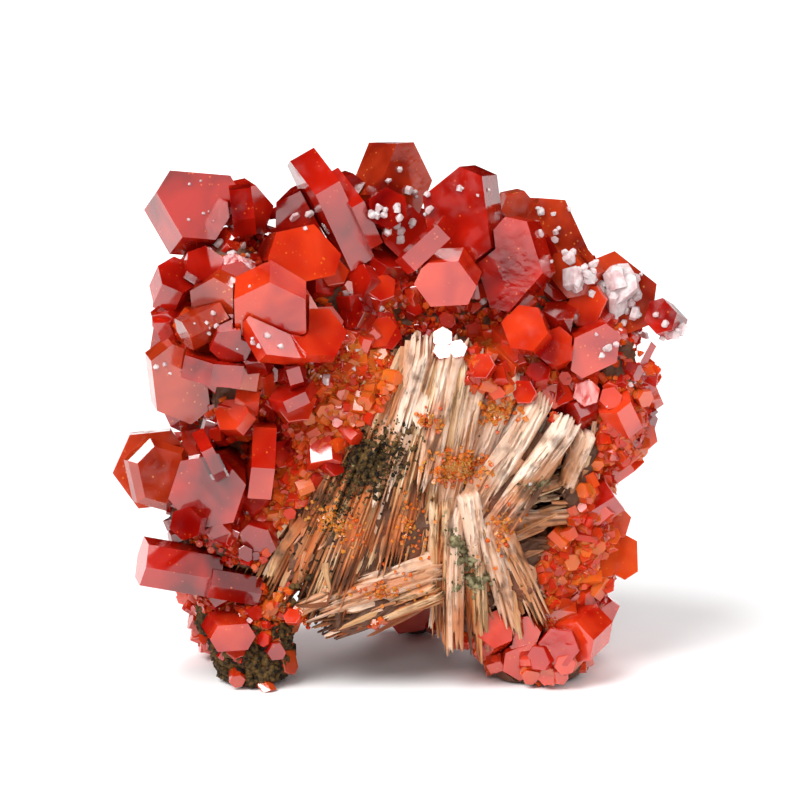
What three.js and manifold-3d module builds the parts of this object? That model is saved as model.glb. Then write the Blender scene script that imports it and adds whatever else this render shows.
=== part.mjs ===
// Vanadinite on barite matrix: hexagonal lead-vanadate crystals grown over a mass of tan barite blades.
// Millimetres, +Z up, +X to the right and -Y towards the front. The origin is on the resting plane, under the
// middle of the specimen.
//
// Each crystal is a six-sided prism or tablet. It is placed by the middle of its outer end face ("at") or by
// its own middle ("mid"), and turned by "face", the compass turn and the rise of the end face's normal in
// degrees: [0, 0] looks straight out of the front, [90, 0] to the right, [0, 90] up. "spin" turns it about
// that normal. "sides" are the distances from its axis to its six side faces, counter-clockwise from the
// upper right, or "r" where all six are alike. "long" is its length along the axis. "bevel" cuts the narrow
// slanting faces round the end.

import * as THREE from "three";
import { mergeVertices } from "three/addons/utils/BufferGeometryUtils.js";
import Module from "manifold-3d";

const wasm = await Module();
wasm.setup();

// ---- driving dimensions ------------------------------------------------------------------------------

const GAP = 0.3; // clearance between two neighbouring pieces
const FLOOR_REACH = 200; // side of the block that trims everything below the resting plane
const WELD = 1e-4; // corners nearer than this are one corner
const BLADE_THICK = 2.2; // usual thickness of a barite blade
const BLADE_SHOULDER = 0.72; // share of a blade's length at which its slanting point begins
const BLADE_HEEL = 0.84; // share of its length that the shorter edge of the point reaches
const LUMP_ROUGHNESS = 0.13; // how far a lump's corners stray from round, as a share of its radius

const COLOURS = {
  vanadinite: { color: 0xb3200f, roughness: 0.12, metalness: 0 },
  barite: { color: 0xcfae86, roughness: 0.75, metalness: 0 },
};

// ---- small helpers -----------------------------------------------------------------------------------

const radians = THREE.MathUtils.degToRad;

function normalOf([turn, rise]) {
  const flat = Math.cos(radians(rise));
  return new THREE.Vector3(
    Math.sin(radians(turn)) * flat,
    -Math.cos(radians(turn)) * flat,
    Math.sin(radians(rise)),
  );
}

// The turn that carries local z to the normal, with local y as near to straight up as it can be.
function turnTo(normal, spin = 0) {
  const up = new THREE.Vector3(0, 0, 1);
  const y = up.addScaledVector(normal, -normal.z).normalize();
  const x = new THREE.Vector3().crossVectors(y, normal);
  const basis = new THREE.Matrix4().makeBasis(x, y, normal);
  const about = new THREE.Quaternion().setFromAxisAngle(new THREE.Vector3(0, 0, 1), radians(spin));
  return new THREE.Quaternion().setFromRotationMatrix(basis).multiply(about);
}

function solidOf(geometry, matrix) {
  const bare = geometry.clone();
  for (const name of ["normal", "uv"]) bare.deleteAttribute(name);
  if (matrix) bare.applyMatrix4(matrix);
  const merged = mergeVertices(bare, WELD);
  return new wasm.Manifold(
    new wasm.Mesh({
      numProp: 3,
      vertProperties: new Float32Array(merged.attributes.position.array),
      triVerts: new Uint32Array(merged.index.array),
    }),
  );
}

function geometryOf(solid) {
  const mesh = solid.getMesh();
  const places = new Float32Array(mesh.numVert * 3);
  for (let i = 0; i < mesh.numVert; i++) {
    places.set(mesh.vertProperties.subarray(i * mesh.numProp, i * mesh.numProp + 3), i * 3);
  }
  return new THREE.BufferGeometry()
    .setAttribute("position", new THREE.BufferAttribute(places, 3))
    .setIndex(new THREE.BufferAttribute(new Uint32Array(mesh.triVerts), 1));
}

const join = (solids) => solids.reduce((all, one) => all.add(one));

function largestBody(solid) {
  return solid.decompose().reduce((best, one) => (one.volume() > best.volume() ? one : best));
}

// A generator of repeatable numbers from 0 to 1.
function repeatable(seed) {
  let state = seed;
  return () => {
    state = (state * 1664525 + 1013904223) % 4294967296;
    return state / 4294967296;
  };
}

// ---- one crystal -------------------------------------------------------------------------------------

const SIDE_TURNS = [30, 90, 150, 210, 270, 330];

// The outline left when a large square is cut by the six side lines.
function outlineOf(sides) {
  const far = 4 * Math.max(...sides);
  let points = [
    [-far, -far],
    [far, -far],
    [far, far],
    [-far, far],
  ];
  SIDE_TURNS.forEach((turn, k) => {
    const nx = Math.cos(radians(turn));
    const ny = Math.sin(radians(turn));
    const over = ([x, y]) => x * nx + y * ny - sides[k];
    const kept = [];
    points.forEach((p, i) => {
      const q = points[(i + 1) % points.length];
      const a = over(p);
      const b = over(q);
      if (a <= 0) kept.push(p);
      if (a < 0 !== b < 0) {
        const share = a / (a - b);
        kept.push([p[0] + (q[0] - p[0]) * share, p[1] + (q[1] - p[1]) * share]);
      }
    });
    points = kept;
  });
  return new THREE.Shape(points.map(([x, y]) => new THREE.Vector2(x, y)));
}

function crystalGeometry({ sides, long, bevel = 0 }, grown = 0) {
  const outline = outlineOf(sides.map((side) => side + grown));
  const depth = long + 2 * grown - 2 * bevel;
  const options = {
    depth,
    bevelEnabled: bevel > 0,
    bevelThickness: bevel,
    bevelSize: bevel,
    bevelOffset: -bevel,
    bevelSegments: 1,
  };
  return new THREE.ExtrudeGeometry(outline, options).translate(0, 0, -long - grown + bevel);
}

// Fills in the defaults, and turns "mid" into the middle of the outer end face.
function settled(crystal) {
  const full = { spin: 0, bevel: 0, ...crystal };
  if (full.r) full.sides = SIDE_TURNS.map(() => full.r);
  const normal = normalOf(full.face);
  const at = full.at
    ? new THREE.Vector3(...full.at)
    : new THREE.Vector3(...full.mid).addScaledVector(normal, full.long / 2);
  const quaternion = turnTo(normal, full.spin);
  const matrix = new THREE.Matrix4().makeRotationFromQuaternion(quaternion).setPosition(at);
  return { ...full, place: at, quaternion, matrix };
}

const crystalSolid = (crystal, grown) => solidOf(crystalGeometry(crystal, grown), crystal.matrix);

// ---- the vanadinite crystals -------------------------------------------------------------------------

const TOP = {
  tablet_top_diagonal: [
    { mid: [3.1, -11, 52.9], face: [-90, 47], spin: 30, sides: [3.3, 3.3, 1.9, 3.3, 3.3, 1.9], long: 2.2 },
  ],
  plate_top_right_dark: [
    { at: [7, -7, 55.7], face: [-20, 6], spin: -20, sides: [3.2, 5.1, 4.4, 4.2, 5, 5.2], long: 5.5 },
  ],
  plate_centre_pink: [
    { at: [5.5, -13, 49], face: [-8, -9], spin: 5, sides: [2.5, 2.4, 3.3, 3.3, 2.8, 3.2], long: 5 },
  ],
  plate_top_right_broad: [
    { at: [12.8, -9, 50.6], face: [-20, 8], spin: -9, sides: [3.2, 4.9, 4, 4, 5.6, 3.6], long: 5 },
  ],
  tablets_top_leaning: [
    { mid: [-8.1, -5, 56.7], face: [-72, -27], spin: 20, sides: [4.8, 6.2, 4, 6, 8, 3.6], long: 3.2 },
    { mid: [-5.2, -4.6, 55.9], face: [-72, -27], spin: 20, sides: [3.6, 5, 4, 6, 5, 3.6], long: 1.6 },
  ],
  plate_top_middle: [
    { at: [1, 0, 59], face: [40, 5], spin: -2, sides: [3, 4, 3.2, 5, 5, 3.6], long: 5.1 },
  ],
  crystals_top_small: [
    { at: [-1.2, -8, 56.6], face: [10, 12], spin: 32, r: 2.1, long: 5 },
    { at: [0.8, -5.5, 53.5], face: [10, 0], spin: 15, r: 2.6, long: 6 },
  ],
  crystal_top_behind: [{ at: [-5.8, -1.5, 56], face: [10, 5], spin: 20, r: 3.2, long: 6 }],
  plate_top_left_shaded: [{ at: [-11.2, -4, 54.7], face: [-15, -8], spin: 26, r: 3, long: 6 }],
};

const LEFT = {
  tablet_upper_left: [
    { mid: [-17.8, -6.5, 56.2], face: [-86, -6], sides: [2.9, 2.7, 3, 3, 2.6, 3.4], long: 2.5 },
  ],
  plate_upper_left: [
    { at: [-23, -4.5, 56.8], face: [20, 28], spin: -8, sides: [5.2, 3.6, 4.6, 3.8, 4.4, 4], long: 6 },
  ],
  plate_upper_left_back: [{ at: [-17.5, -1.5, 55.2], face: [15, 0], spin: 10, r: 2.8, long: 6 }],
  crystal_upper_bright: [
    { at: [-10.6, -12, 52], face: [8, 10], spin: 11, sides: [3.1, 3.1, 3.8, 3.5, 3, 4], long: 8 },
  ],
  tablet_roof: [{ at: [-14.4, -15, 45.5], face: [0, -25], spin: 30, r: 4, long: 4.4 }],
  tablet_left_edge: [{ at: [-25.1, -8, 49], face: [25, 44], spin: 26, r: 2.2, long: 4 }],
  tablet_left_inner: [{ at: [-22, -8.5, 50.3], face: [20, 38], spin: 17, r: 2.1, long: 4 }],
  tablet_left_brown: [{ at: [-20.6, -11.5, 46], face: [-15, -12], spin: 31, r: 3, long: 3.4 }],
  prism_left_grey: [
    { at: [-24.2, -13, 43], face: [-65, -22], sides: [1.8, 1.8, 2, 2, 1.8, 1.8], long: 5 },
  ],
  tablets_centre_left: [
    { at: [-12.4, -13.5, 44.6], face: [30, 30], spin: -12, sides: [4.3, 4.3, 4.3, 4.7, 4.3, 4.3], long: 2.4 },
    { mid: [-9.3, -12.5, 42.8], face: [20, 40], spin: -5, r: 3, long: 1.8 },
  ],
  tablet_left_dark_face: [{ at: [-18.8, -14, 41.8], face: [5, -25], spin: 10, r: 2.2, long: 4 }],
  tablet_left_shelf: [{ mid: [-21, -12, 38.9], face: [90, 79], r: 3.4, long: 2.6 }],
  plate_left_large: [
    { at: [-25, -10, 36.4], face: [12, 0], spin: 36, sides: [4.2, 4.4, 2.9, 3.6, 4.4, 3.2], long: 5 },
  ],
  tablets_middle: [
    { mid: [-12, -12, 35.8], face: [-60, 65], spin: 10, r: 2.4, long: 1.5 },
    { mid: [-12.1, -12, 38.5], face: [-80, -15], spin: 30, sides: [2, 2, 1.4, 2, 2, 2.4], long: 1.6 },
  ],
  tablet_left_blade: [
    { mid: [-21.5, -13, 29], face: [-80, -25], spin: 30, sides: [2.8, 2.8, 1.5, 2.8, 2.8, 3], long: 1.4 },
  ],
  prism_lower_pink: [{ mid: [-15.8, -9, 27.7], face: [-85, 5], r: 4.2, long: 2.7 }],
  plate_lower_left: [
    { at: [-27.4, -11, 26], face: [25, 8], spin: 39, sides: [4, 3.8, 3, 3.5, 3.7, 4], long: 3, bevel: 0.8 },
  ],
  plate_lower_left_back: [
    { at: [-28.6, -7.5, 26.2], face: [5, 8], spin: 5, sides: [4.5, 4.1, 3.8, 3.9, 4.5, 4.5], long: 4 },
  ],
  crystal_lower_left_deep: [{ at: [-21.9, -12, 24.5], face: [-8, 5], spin: 12, r: 4, long: 8 }],
  crystal_lower_left_small: [
    { at: [-24.2, -15, 21.5], face: [-10, 12], spin: 20, r: 1.7, long: 6 },
  ],
  prisms_lower_left: [
    { at: [-29.8, -8, 15.2], face: [-78, 13], sides: [3, 2.6, 3, 3, 2.4, 2.8], long: 9 },
    { at: [-22, -8.5, 13], face: [-78, 13], r: 1.7, long: 6 },
  ],
};

const RIGHT = {
  plate_right_hexagon: [
    { at: [22.7, -8, 40.2], face: [6, 0], spin: 24, sides: [3.1, 2.4, 2.7, 3.6, 2.3, 2.5], long: 5 },
  ],
  plate_right_large: [
    { at: [26, -1, 46], face: [5, 14], spin: 21, sides: [3, 4.5, 3.5, 4.5, 5, 3.9], long: 4 },
  ],
  crystal_right_brown: [
    { at: [19.4, -4, 48.6], face: [-25, 5], spin: 15, sides: [2, 2.4, 2.2, 2, 3, 2.8], long: 5 },
  ],
  crystal_right_edge: [
    { at: [30, -3, 43.2], face: [-28, 22], spin: 22, sides: [1.9, 2, 1.5, 1.5, 2, 2.2], long: 3.5 },
  ],
  plates_right_back: [
    { at: [18.1, 2, 52.4], face: [12, 8], spin: -6, sides: [2.8, 3.7, 3.5, 4, 4.5, 5], long: 5 },
    { at: [14, 3, 55], face: [10, 5], spin: 10, r: 1.8, long: 4 },
  ],
  crystals_right_red: [
    { at: [14.3, -11, 43.4], face: [-12, 20], spin: -6, sides: [2.3, 2.5, 2.5, 2.3, 2.5, 2.5], long: 5 },
    { at: [18, -8, 40.6], face: [-20, 20], spin: 25, r: 2.1, long: 5 },
  ],
  crystals_right_pair: [
    { at: [24.4, -8, 34.6], face: [10, 25], spin: 10, r: 1.2, long: 4 },
    { at: [21.6, -8, 35.2], face: [-5, 20], spin: 20, r: 1.4, long: 4 },
  ],
  crystal_trio_centre: [
    { at: [5, -12.5, 42.6], face: [0, 20], spin: 30, r: 1.05, long: 4 },
    { at: [5, -12.8, 41.2], face: [0, 20], spin: 10, r: 0.95, long: 4 },
    { at: [6.7, -12.6, 41.3], face: [0, 20], spin: 10, r: 0.95, long: 4 },
  ],
};

const FOOT = {
  crystal_foot_left: [
    { at: [-19.1, -11, 6.9], face: [15, -4], sides: [2.3, 1.6, 2.4, 2.4, 1.6, 2.3], long: 5 },
  ],
  crystal_foot_right_orange: [{ at: [11.3, -9, 7.4], face: [10, 30], spin: 20, r: 2, long: 5 }],
  crystals_foot_right: [
    { at: [14.3, -8.5, 6.6], face: [-10, 5], spin: 10, r: 2, long: 6 },
    { at: [14.5, -8, 3], face: [5, -18], spin: 25, r: 2.2, long: 6 },
  ],
  crystal_foot_right_large: [
    { at: [20.3, -8.5, 5.6], face: [-30, -12], spin: 15, r: 2.5, long: 5 },
  ],
  crystal_rear_foot: [{ at: [1.1, 12, 3.8], face: [0, 0], spin: 10, r: 2.7, long: 4 }],
  plate_right_rim: [
    { at: [26.4, -3, 14.6], face: [10, 10], spin: 30, sides: [2.3, 2.5, 2.2, 2.4, 2.5, 1.7], long: 1.8 },
  ],
};

const BACK = {
  crystals_back_top: [
    { at: [-4, 12, 53.5], face: [170, 45], spin: 12, sides: [3.6, 3.4, 4, 3.6, 3.4, 4], long: 6 },
    { at: [1.5, 13, 52], face: [150, 30], spin: 25, r: 2.6, long: 5 },
  ],
  crystals_back_top_left: [
    { at: [-13, 8, 53.5], face: [-160, 58], spin: 5, r: 3.1, long: 6 },
    { at: [-9.5, 10.5, 51.5], face: [-175, 35], spin: 20, r: 2, long: 5 },
  ],
  crystals_back_top_right: [
    { at: [8.5, 9, 53.5], face: [165, 62], spin: 18, sides: [3.4, 3, 3.4, 3.4, 3.8, 3.4], long: 6 },
    { at: [13.5, 10.5, 51], face: [140, 40], spin: 0, r: 2.2, long: 5 },
  ],
  plates_back_upper_left: [
    { at: [-18, 13, 47.5], face: [-140, 25], spin: 8, sides: [4.4, 4, 3.8, 4.4, 4, 4.6], long: 6 },
    { at: [-22.5, 9, 44], face: [-118, 5], spin: 22, r: 2.7, long: 5 },
  ],
  plates_back_upper_right: [
    { at: [15, 14, 47], face: [145, 20], spin: 24, sides: [4.4, 4.2, 4.8, 4.4, 4.2, 4], long: 6 },
    { at: [20.5, 10.5, 45], face: [120, 15], spin: 10, r: 2.6, long: 5 },
  ],
  crystals_back_centre: [
    { at: [1.5, 20.5, 43], face: [175, 14], spin: 10, sides: [4.6, 4.8, 4.2, 4.6, 5, 4.4], long: 7 },
    { at: [-4.5, 19.5, 38.5], face: [-165, -6], spin: 28, r: 3, long: 6 },
    { at: [6.5, 19, 37.5], face: [160, -4], spin: 4, r: 2.5, long: 6 },
  ],
  crystals_back_left: [
    { at: [-14.5, 17.5, 38], face: [-155, 8], spin: 16, sides: [3.8, 4, 4, 3.8, 4.4, 3.6], long: 6 },
    { at: [-19.5, 14, 33.5], face: [-135, -8], spin: 2, r: 2.7, long: 6 },
  ],
  crystals_back_right: [
    { at: [14, 18, 36.5], face: [152, 6], spin: 20, sides: [3.6, 3.8, 3.4, 3.6, 4.2, 3.6], long: 6 },
    { at: [19, 14, 32], face: [132, -10], spin: 12, r: 2.5, long: 6 },
  ],
  crystals_back_lower_left: [
    { at: [-15.5, 14, 25.5], face: [-150, -12], spin: 26, r: 3.1, long: 6 },
    { at: [-10.5, 16, 22.5], face: [-170, -16], spin: 8, r: 2.1, long: 6 },
  ],
  crystals_back_lower_centre: [
    { at: [-1.5, 20, 29], face: [-176, -6], spin: 14, sides: [3.2, 3.4, 3.4, 3.2, 3, 3.4], long: 6 },
    { at: [4, 20, 24.5], face: [172, -14], spin: 25, r: 2.3, long: 6 },
  ],
  crystals_back_lower_right: [
    { at: [12.5, 15.5, 25], face: [158, -12], spin: 6, r: 3, long: 6 },
    { at: [17, 12, 21.5], face: [140, -14], spin: 20, r: 2.1, long: 6 },
  ],
  crystals_side_left: [
    { at: [-28, 2, 41], face: [-100, 12], spin: 20, sides: [3.4, 3.6, 3.8, 3.4, 3.6, 3.4], long: 7 },
    { at: [-27, 6, 35.5], face: [-112, -4], spin: 6, r: 2.4, long: 7 },
  ],
  crystals_side_left_lower: [
    { at: [-26, 3, 25], face: [-104, -6], spin: 12, r: 3.1, long: 7 },
    { at: [-24.5, 5.5, 19.5], face: [-115, -14], spin: 26, r: 2.1, long: 7 },
  ],
  crystals_side_right: [
    { at: [28.5, 5, 38], face: [104, 6], spin: 16, sides: [3, 3, 3.4, 3, 3.4, 3], long: 7 },
    { at: [27.5, 7.5, 32], face: [116, -6], spin: 4, r: 2.1, long: 7 },
  ],
  crystals_side_right_lower: [
    { at: [25.5, 4, 24], face: [108, -6], spin: 24, r: 2.6, long: 6 },
    { at: [24.5, 4.5, 18], face: [112, -12], spin: 10, r: 2, long: 6 },
  ],
};

// ---- the barite matrix -------------------------------------------------------------------------------

// A rounded lump of the matrix: a coarse ball, stretched and made uneven.
function lump({ mid, radii, seed }) {
  const bare = new THREE.IcosahedronGeometry(1, 1).deleteAttribute("uv").deleteAttribute("normal");
  const ball = mergeVertices(bare);
  const random = repeatable(seed);
  const places = ball.attributes.position;
  for (let i = 0; i < places.count; i++) {
    const swell = 1 + LUMP_ROUGHNESS * (2 * random() - 1);
    places.setXYZ(i, places.getX(i) * swell, places.getY(i) * swell, places.getZ(i) * swell);
  }
  ball.scale(...radii).translate(...mid);
  return solidOf(ball);
}

// A thin blade with a bevelled point, from its root to its tip. "front" is the way its broad side looks.
function blade({ root, tip, wide, thick = BLADE_THICK, front = [0, -1, 0.2] }) {
  const start = new THREE.Vector3(...root);
  const along = new THREE.Vector3(...tip).sub(start);
  const length = along.length();
  const y = along.clone().normalize();
  const z = new THREE.Vector3(...front);
  z.addScaledVector(y, -z.dot(y)).normalize();
  const x = new THREE.Vector3().crossVectors(y, z);
  const half = wide / 2;
  const shape = new THREE.Shape([
    new THREE.Vector2(-half, 0),
    new THREE.Vector2(half, 0),
    new THREE.Vector2(half, length * BLADE_SHOULDER),
    new THREE.Vector2(half * 0.25, length),
    new THREE.Vector2(-half * 0.9, length * BLADE_HEEL),
  ]);
  const geometry = new THREE.ExtrudeGeometry(shape, { depth: thick, bevelEnabled: false });
  geometry.translate(0, 0, -thick / 2);
  return solidOf(geometry, new THREE.Matrix4().makeBasis(x, y, z).setPosition(start));
}

// The body of the matrix and its three feet.
const LUMPS = [
  { mid: [-7, 3, 39], radii: [17, 13, 16], seed: 3 },
  { mid: [9, 4, 38], radii: [17, 12, 15], seed: 4 },
  { mid: [0, 6, 25], radii: [18, 12, 14], seed: 6 },
  { mid: [-19, -2, 39], radii: [8, 9, 14], seed: 2 },
  { mid: [20, 1, 37], radii: [9, 9, 11], seed: 8 },
  { mid: [-6, -1, 27], radii: [13, 8.5, 15], seed: 10 },
  { mid: [-19, -1, 19], radii: [7.5, 9, 14], seed: 5 },
  { mid: [-17, -5, 5], radii: [5, 5, 7], seed: 7 },
  { mid: [21, 1, 20], radii: [5, 7, 15], seed: 9 },
  { mid: [13.5, -1, 11], radii: [8, 7, 11], seed: 12 },
  { mid: [16, -3.5, 4], radii: [7, 5.5, 6], seed: 14 },
  { mid: [2, 16, 12], radii: [5.5, 5.5, 14], seed: 11 },
  { mid: [3.5, 15, 15.5], radii: [9, 6.5, 10], seed: 15 },
  { mid: [-19, 5, 8], radii: [6, 9, 10], seed: 16 },
  { mid: [18, 6, 8], radii: [7.5, 9, 10], seed: 17 },
  { mid: [24, -1, 33], radii: [6, 6.5, 9], seed: 18 },
];

// The broad blades that fan out over its open face.
const BLADES = [
  { root: [-3, -7, 37], tip: [-17, -7.5, 14.5], wide: 4 },
  { root: [0, -7.5, 38], tip: [-14, -8.5, 11], wide: 4 },
  { root: [2, -8, 39], tip: [-11, -9, 9.5], wide: 4.5 },
  { root: [4, -8.5, 40], tip: [-7.5, -9.5, 9], wide: 4.5 },
  { root: [5.5, -9, 41], tip: [-3, -10, 11], wide: 4 },
  { root: [6.5, -9, 41], tip: [1, -10, 13.5], wide: 4 },
  { root: [8.5, -8.5, 39], tip: [4.5, -9.5, 17], wide: 3.5 },
  { root: [19, -8.5, 31.5], tip: [8.5, -10.5, 18.5], wide: 4.5, thick: 1.6, front: [0.4, -1, 0.5] },
  { root: [13, -7, 36], tip: [6.5, -9.5, 23], wide: 3.5, front: [0.3, -1, 0.3] },
  { root: [5, -9.5, 13.5], tip: [-9, -9.5, 7.6], wide: 4.2, thick: 2, front: [0, -1, 0.5] },
  { root: [6.5, -9, 22], tip: [5.5, -9, 6.5], wide: 2.8, thick: 1.4 },
  { root: [8, -8.5, 21], tip: [9.5, -8, 4], wide: 3.4, thick: 1.4, front: [0.4, -1, 0.1] },
  { root: [9.5, -9, 22], tip: [16, -8.5, 9], wide: 3.4, front: [-0.2, -1, 0.2] },
  { root: [10, -5.5, 21], tip: [21, -6, 25.5], wide: 2.5, front: [0, -0.7, 1] },
  { root: [23, -6, 31], tip: [19.5, -7, 20], wide: 3.2 },
];

function matrixSolid() {
  return join([...LUMPS.map(lump), ...BLADES.map(blade)]);
}

// ---- assembly ----------------------------------------------------------------------------------------

const block = new THREE.BoxGeometry(FLOOR_REACH, FLOOR_REACH, FLOOR_REACH);
const floor = solidOf(block.translate(0, 0, -FLOOR_REACH / 2));

function materialOf(kind) {
  return new THREE.MeshStandardMaterial(COLOURS[kind]);
}

// Each node gives way to the crystals placed before it, so that neighbours meet face to face across the gap.
const part = new THREE.Group();
part.name = "vanadinite_on_barite";
const placed = [];

function addCrystals(groupName, nodes) {
  const group = new THREE.Group();
  group.name = groupName;
  for (const [name, list] of Object.entries(nodes)) {
    const crystals = list.map(settled);
    let solid = join(crystals.map((crystal) => crystalSolid(crystal, 0)));
    for (const other of placed) solid = solid.subtract(other);
    solid = largestBody(solid.subtract(floor));
    placed.push(join(crystals.map((crystal) => crystalSolid(crystal, GAP))));
    const first = crystals[0];
    const geometry = geometryOf(solid).applyMatrix4(first.matrix.clone().invert());
    const mesh = new THREE.Mesh(geometry, materialOf("vanadinite"));
    mesh.name = name;
    mesh.position.copy(first.place);
    mesh.quaternion.copy(first.quaternion);
    group.add(mesh);
  }
  part.add(group);
}

addCrystals("crystals_top", TOP);
addCrystals("crystals_left", LEFT);
addCrystals("crystals_right", RIGHT);
addCrystals("crystals_foot", FOOT);
addCrystals("crystals_back", BACK);

let matrix = matrixSolid();
for (const other of placed) matrix = matrix.subtract(other);
const matrixGeometry = geometryOf(largestBody(matrix.subtract(floor)));
const matrixMesh = new THREE.Mesh(matrixGeometry, materialOf("barite"));
matrixMesh.name = "barite_matrix";
part.add(matrixMesh);

// The origin goes under the middle of the whole specimen.
const middle = new THREE.Box3().setFromObject(part, true).getCenter(new THREE.Vector3());
for (const child of part.children) child.position.sub(new THREE.Vector3(middle.x, middle.y, 0));

export default part;
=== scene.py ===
"""Vanadinite on barite matrix: the looks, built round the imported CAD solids.

Lengths are in millimetres up to where MM turns them into metres, unless a comment says metres.
"""

import math
import random

import bmesh
import bpy
import numpy as np
from mathutils import Matrix, Vector, noise
from mathutils.bvhtree import BVHTree


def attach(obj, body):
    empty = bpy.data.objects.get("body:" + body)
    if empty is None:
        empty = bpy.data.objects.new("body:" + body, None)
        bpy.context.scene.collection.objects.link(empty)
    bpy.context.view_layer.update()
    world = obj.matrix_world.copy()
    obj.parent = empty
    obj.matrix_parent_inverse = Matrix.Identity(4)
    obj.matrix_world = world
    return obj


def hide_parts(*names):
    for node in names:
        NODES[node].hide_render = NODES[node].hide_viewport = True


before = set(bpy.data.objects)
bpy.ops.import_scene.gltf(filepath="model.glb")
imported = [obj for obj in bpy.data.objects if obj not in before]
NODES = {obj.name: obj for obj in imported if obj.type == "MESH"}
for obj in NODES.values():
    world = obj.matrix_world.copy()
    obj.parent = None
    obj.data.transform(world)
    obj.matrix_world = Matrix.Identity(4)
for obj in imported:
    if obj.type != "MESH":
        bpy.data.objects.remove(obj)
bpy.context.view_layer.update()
MM = 0.001
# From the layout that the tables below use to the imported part, whose origin is under its middle.
SHIFT = Vector((-0.17, -2.54, 0))

# ---- camera, lights and floor ----

CAMERA_DISTANCE = 420
CAMERA_RISE = math.radians(12)
FRAME_WIDTH = 93.8  # how much the picture takes in, at the middle of the specimen
SENSOR = 36
LOOK_UP = 1.64  # how far the aim lies above the middle, in the picture's plane
AIM = SHIFT + Vector((0.18, 0, 31)) + LOOK_UP * Vector((0, math.sin(CAMERA_RISE), math.cos(CAMERA_RISE)))

ROOM_LIGHT = 0.4  # strength of the white light from all round
KEY_LIGHT = 3.4
KEY_ANGLE = math.radians(35)  # wide, for soft shadows
KEY_FROM = Vector((-0.5, -0.55, 0.85))
FLOOR_REACH = 3  # metres
SOFTBOX_AIM = Vector((0, 0, 0.03))

# Each softbox: name, place and size in metres, and power.
SOFTBOXES = [
    ("softbox_right", (0.6, -0.1, 0.5), (0.4, 0.5), 1.2),
    ("softbox_high", (0.5, -0.5, 0.62), (0.5, 0.5), 0.6),
    ("softbox_low_left", (-0.6, -0.75, 0.26), (0.35, 0.25), 0.35),
    ("softbox_front", (0, -0.9, 0.51), (0.14, 0.14), 1),
    ("softbox_back", (0.15, 0.6, 0.55), (0.4, 0.3), 2),
]


def add_camera():
    data = bpy.data.cameras.new("camera")
    data.sensor_width = SENSOR
    data.lens = SENSOR * CAMERA_DISTANCE / FRAME_WIDTH
    data.clip_start = 0.01
    camera = bpy.data.objects.new("camera", data)
    back = Vector((0, -math.cos(CAMERA_RISE), math.sin(CAMERA_RISE)))
    camera.location = (AIM + CAMERA_DISTANCE * back) * MM
    camera.rotation_euler = (math.pi / 2 - CAMERA_RISE, 0, 0)
    bpy.context.collection.objects.link(camera)
    bpy.context.scene.camera = camera


def add_softbox(name, place, size, power):
    data = bpy.data.lights.new(name, "AREA")
    data.shape = "RECTANGLE"
    data.size, data.size_y = size
    data.energy = power
    light = bpy.data.objects.new(name, data)
    light.location = place
    light.rotation_euler = (SOFTBOX_AIM - Vector(place)).to_track_quat("-Z", "Y").to_euler()
    bpy.context.collection.objects.link(light)


def add_floor():
    """A matt sheet of white paper, without a sheen, so that no horizon shows."""
    paper = bpy.data.materials.new("floor_paper")
    paper.use_nodes = True
    shader = paper.node_tree.nodes["Principled BSDF"]
    shader.inputs["Base Color"].default_value = (0.94, 0.94, 0.94, 1)
    shader.inputs["Roughness"].default_value = 0.9
    shader.inputs["Specular IOR Level"].default_value = 0
    reach = FLOOR_REACH
    mesh = bpy.data.meshes.new("floor")
    corners = [(-reach, -reach, 0), (reach, -reach, 0), (reach, reach, 0), (-reach, reach, 0)]
    mesh.from_pydata(corners, [], [(0, 1, 2, 3)])
    mesh.materials.append(paper)
    floor = bpy.data.objects.new("floor", mesh)
    bpy.context.collection.objects.link(floor)


def add_room():
    """White behind the specimen, and a dimmer white as the light that comes from all round."""
    world = bpy.data.worlds.new("studio")
    world.use_nodes = True
    tree = world.node_tree
    tree.nodes["Background"].inputs["Color"].default_value = (1, 1, 1, 1)
    seen = node(tree, "ShaderNodeLightPath").outputs["Is Camera Ray"]
    strength = node(tree, "ShaderNodeMapRange", {"Value": seen, "To Min": ROOM_LIGHT, "To Max": 1})
    tree.links.new(strength.outputs["Result"], tree.nodes["Background"].inputs["Strength"])
    bpy.context.scene.world = world
    # Reflections show only the softboxes, the floor and the specimen.
    world.cycles_visibility.glossy = False


def add_lights():
    key = bpy.data.lights.new("key", "SUN")
    key.energy = KEY_LIGHT
    key.angle = KEY_ANGLE
    lamp = bpy.data.objects.new("key", key)
    lamp.rotation_euler = (-KEY_FROM).to_track_quat("-Z", "Y").to_euler()
    bpy.context.collection.objects.link(lamp)
    for softbox in SOFTBOXES:
        add_softbox(*softbox)
    bpy.context.scene.view_settings.view_transform = "Standard"


# ---- materials ----

FULL, NONE = (1, 1, 1), (0, 0, 0)  # how much of a second colour is mixed in


def node(tree, kind, links=None, **values):
    """A new node. links gives input sockets a source or a constant, and values are the node's settings."""
    made = tree.nodes.new(kind)
    for name, value in values.items():
        setattr(made, name, value)
    for socket, source in (links or {}).items():
        if isinstance(source, bpy.types.NodeSocket):
            tree.links.new(source, made.inputs[socket])
        else:
            made.inputs[socket].default_value = source
    return made


def ramp(tree, factor, stops):
    """The colour that the stops, as (place, colour), give for the factor."""
    made = node(tree, "ShaderNodeValToRGB", {"Fac": factor})
    elements = made.color_ramp.elements
    while len(elements) < len(stops):
        elements.new(1)
    for element, (place, colour) in zip(elements, stops):
        element.position = place
        element.color = (*colour, 1)
    return made.outputs["Color"]


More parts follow.
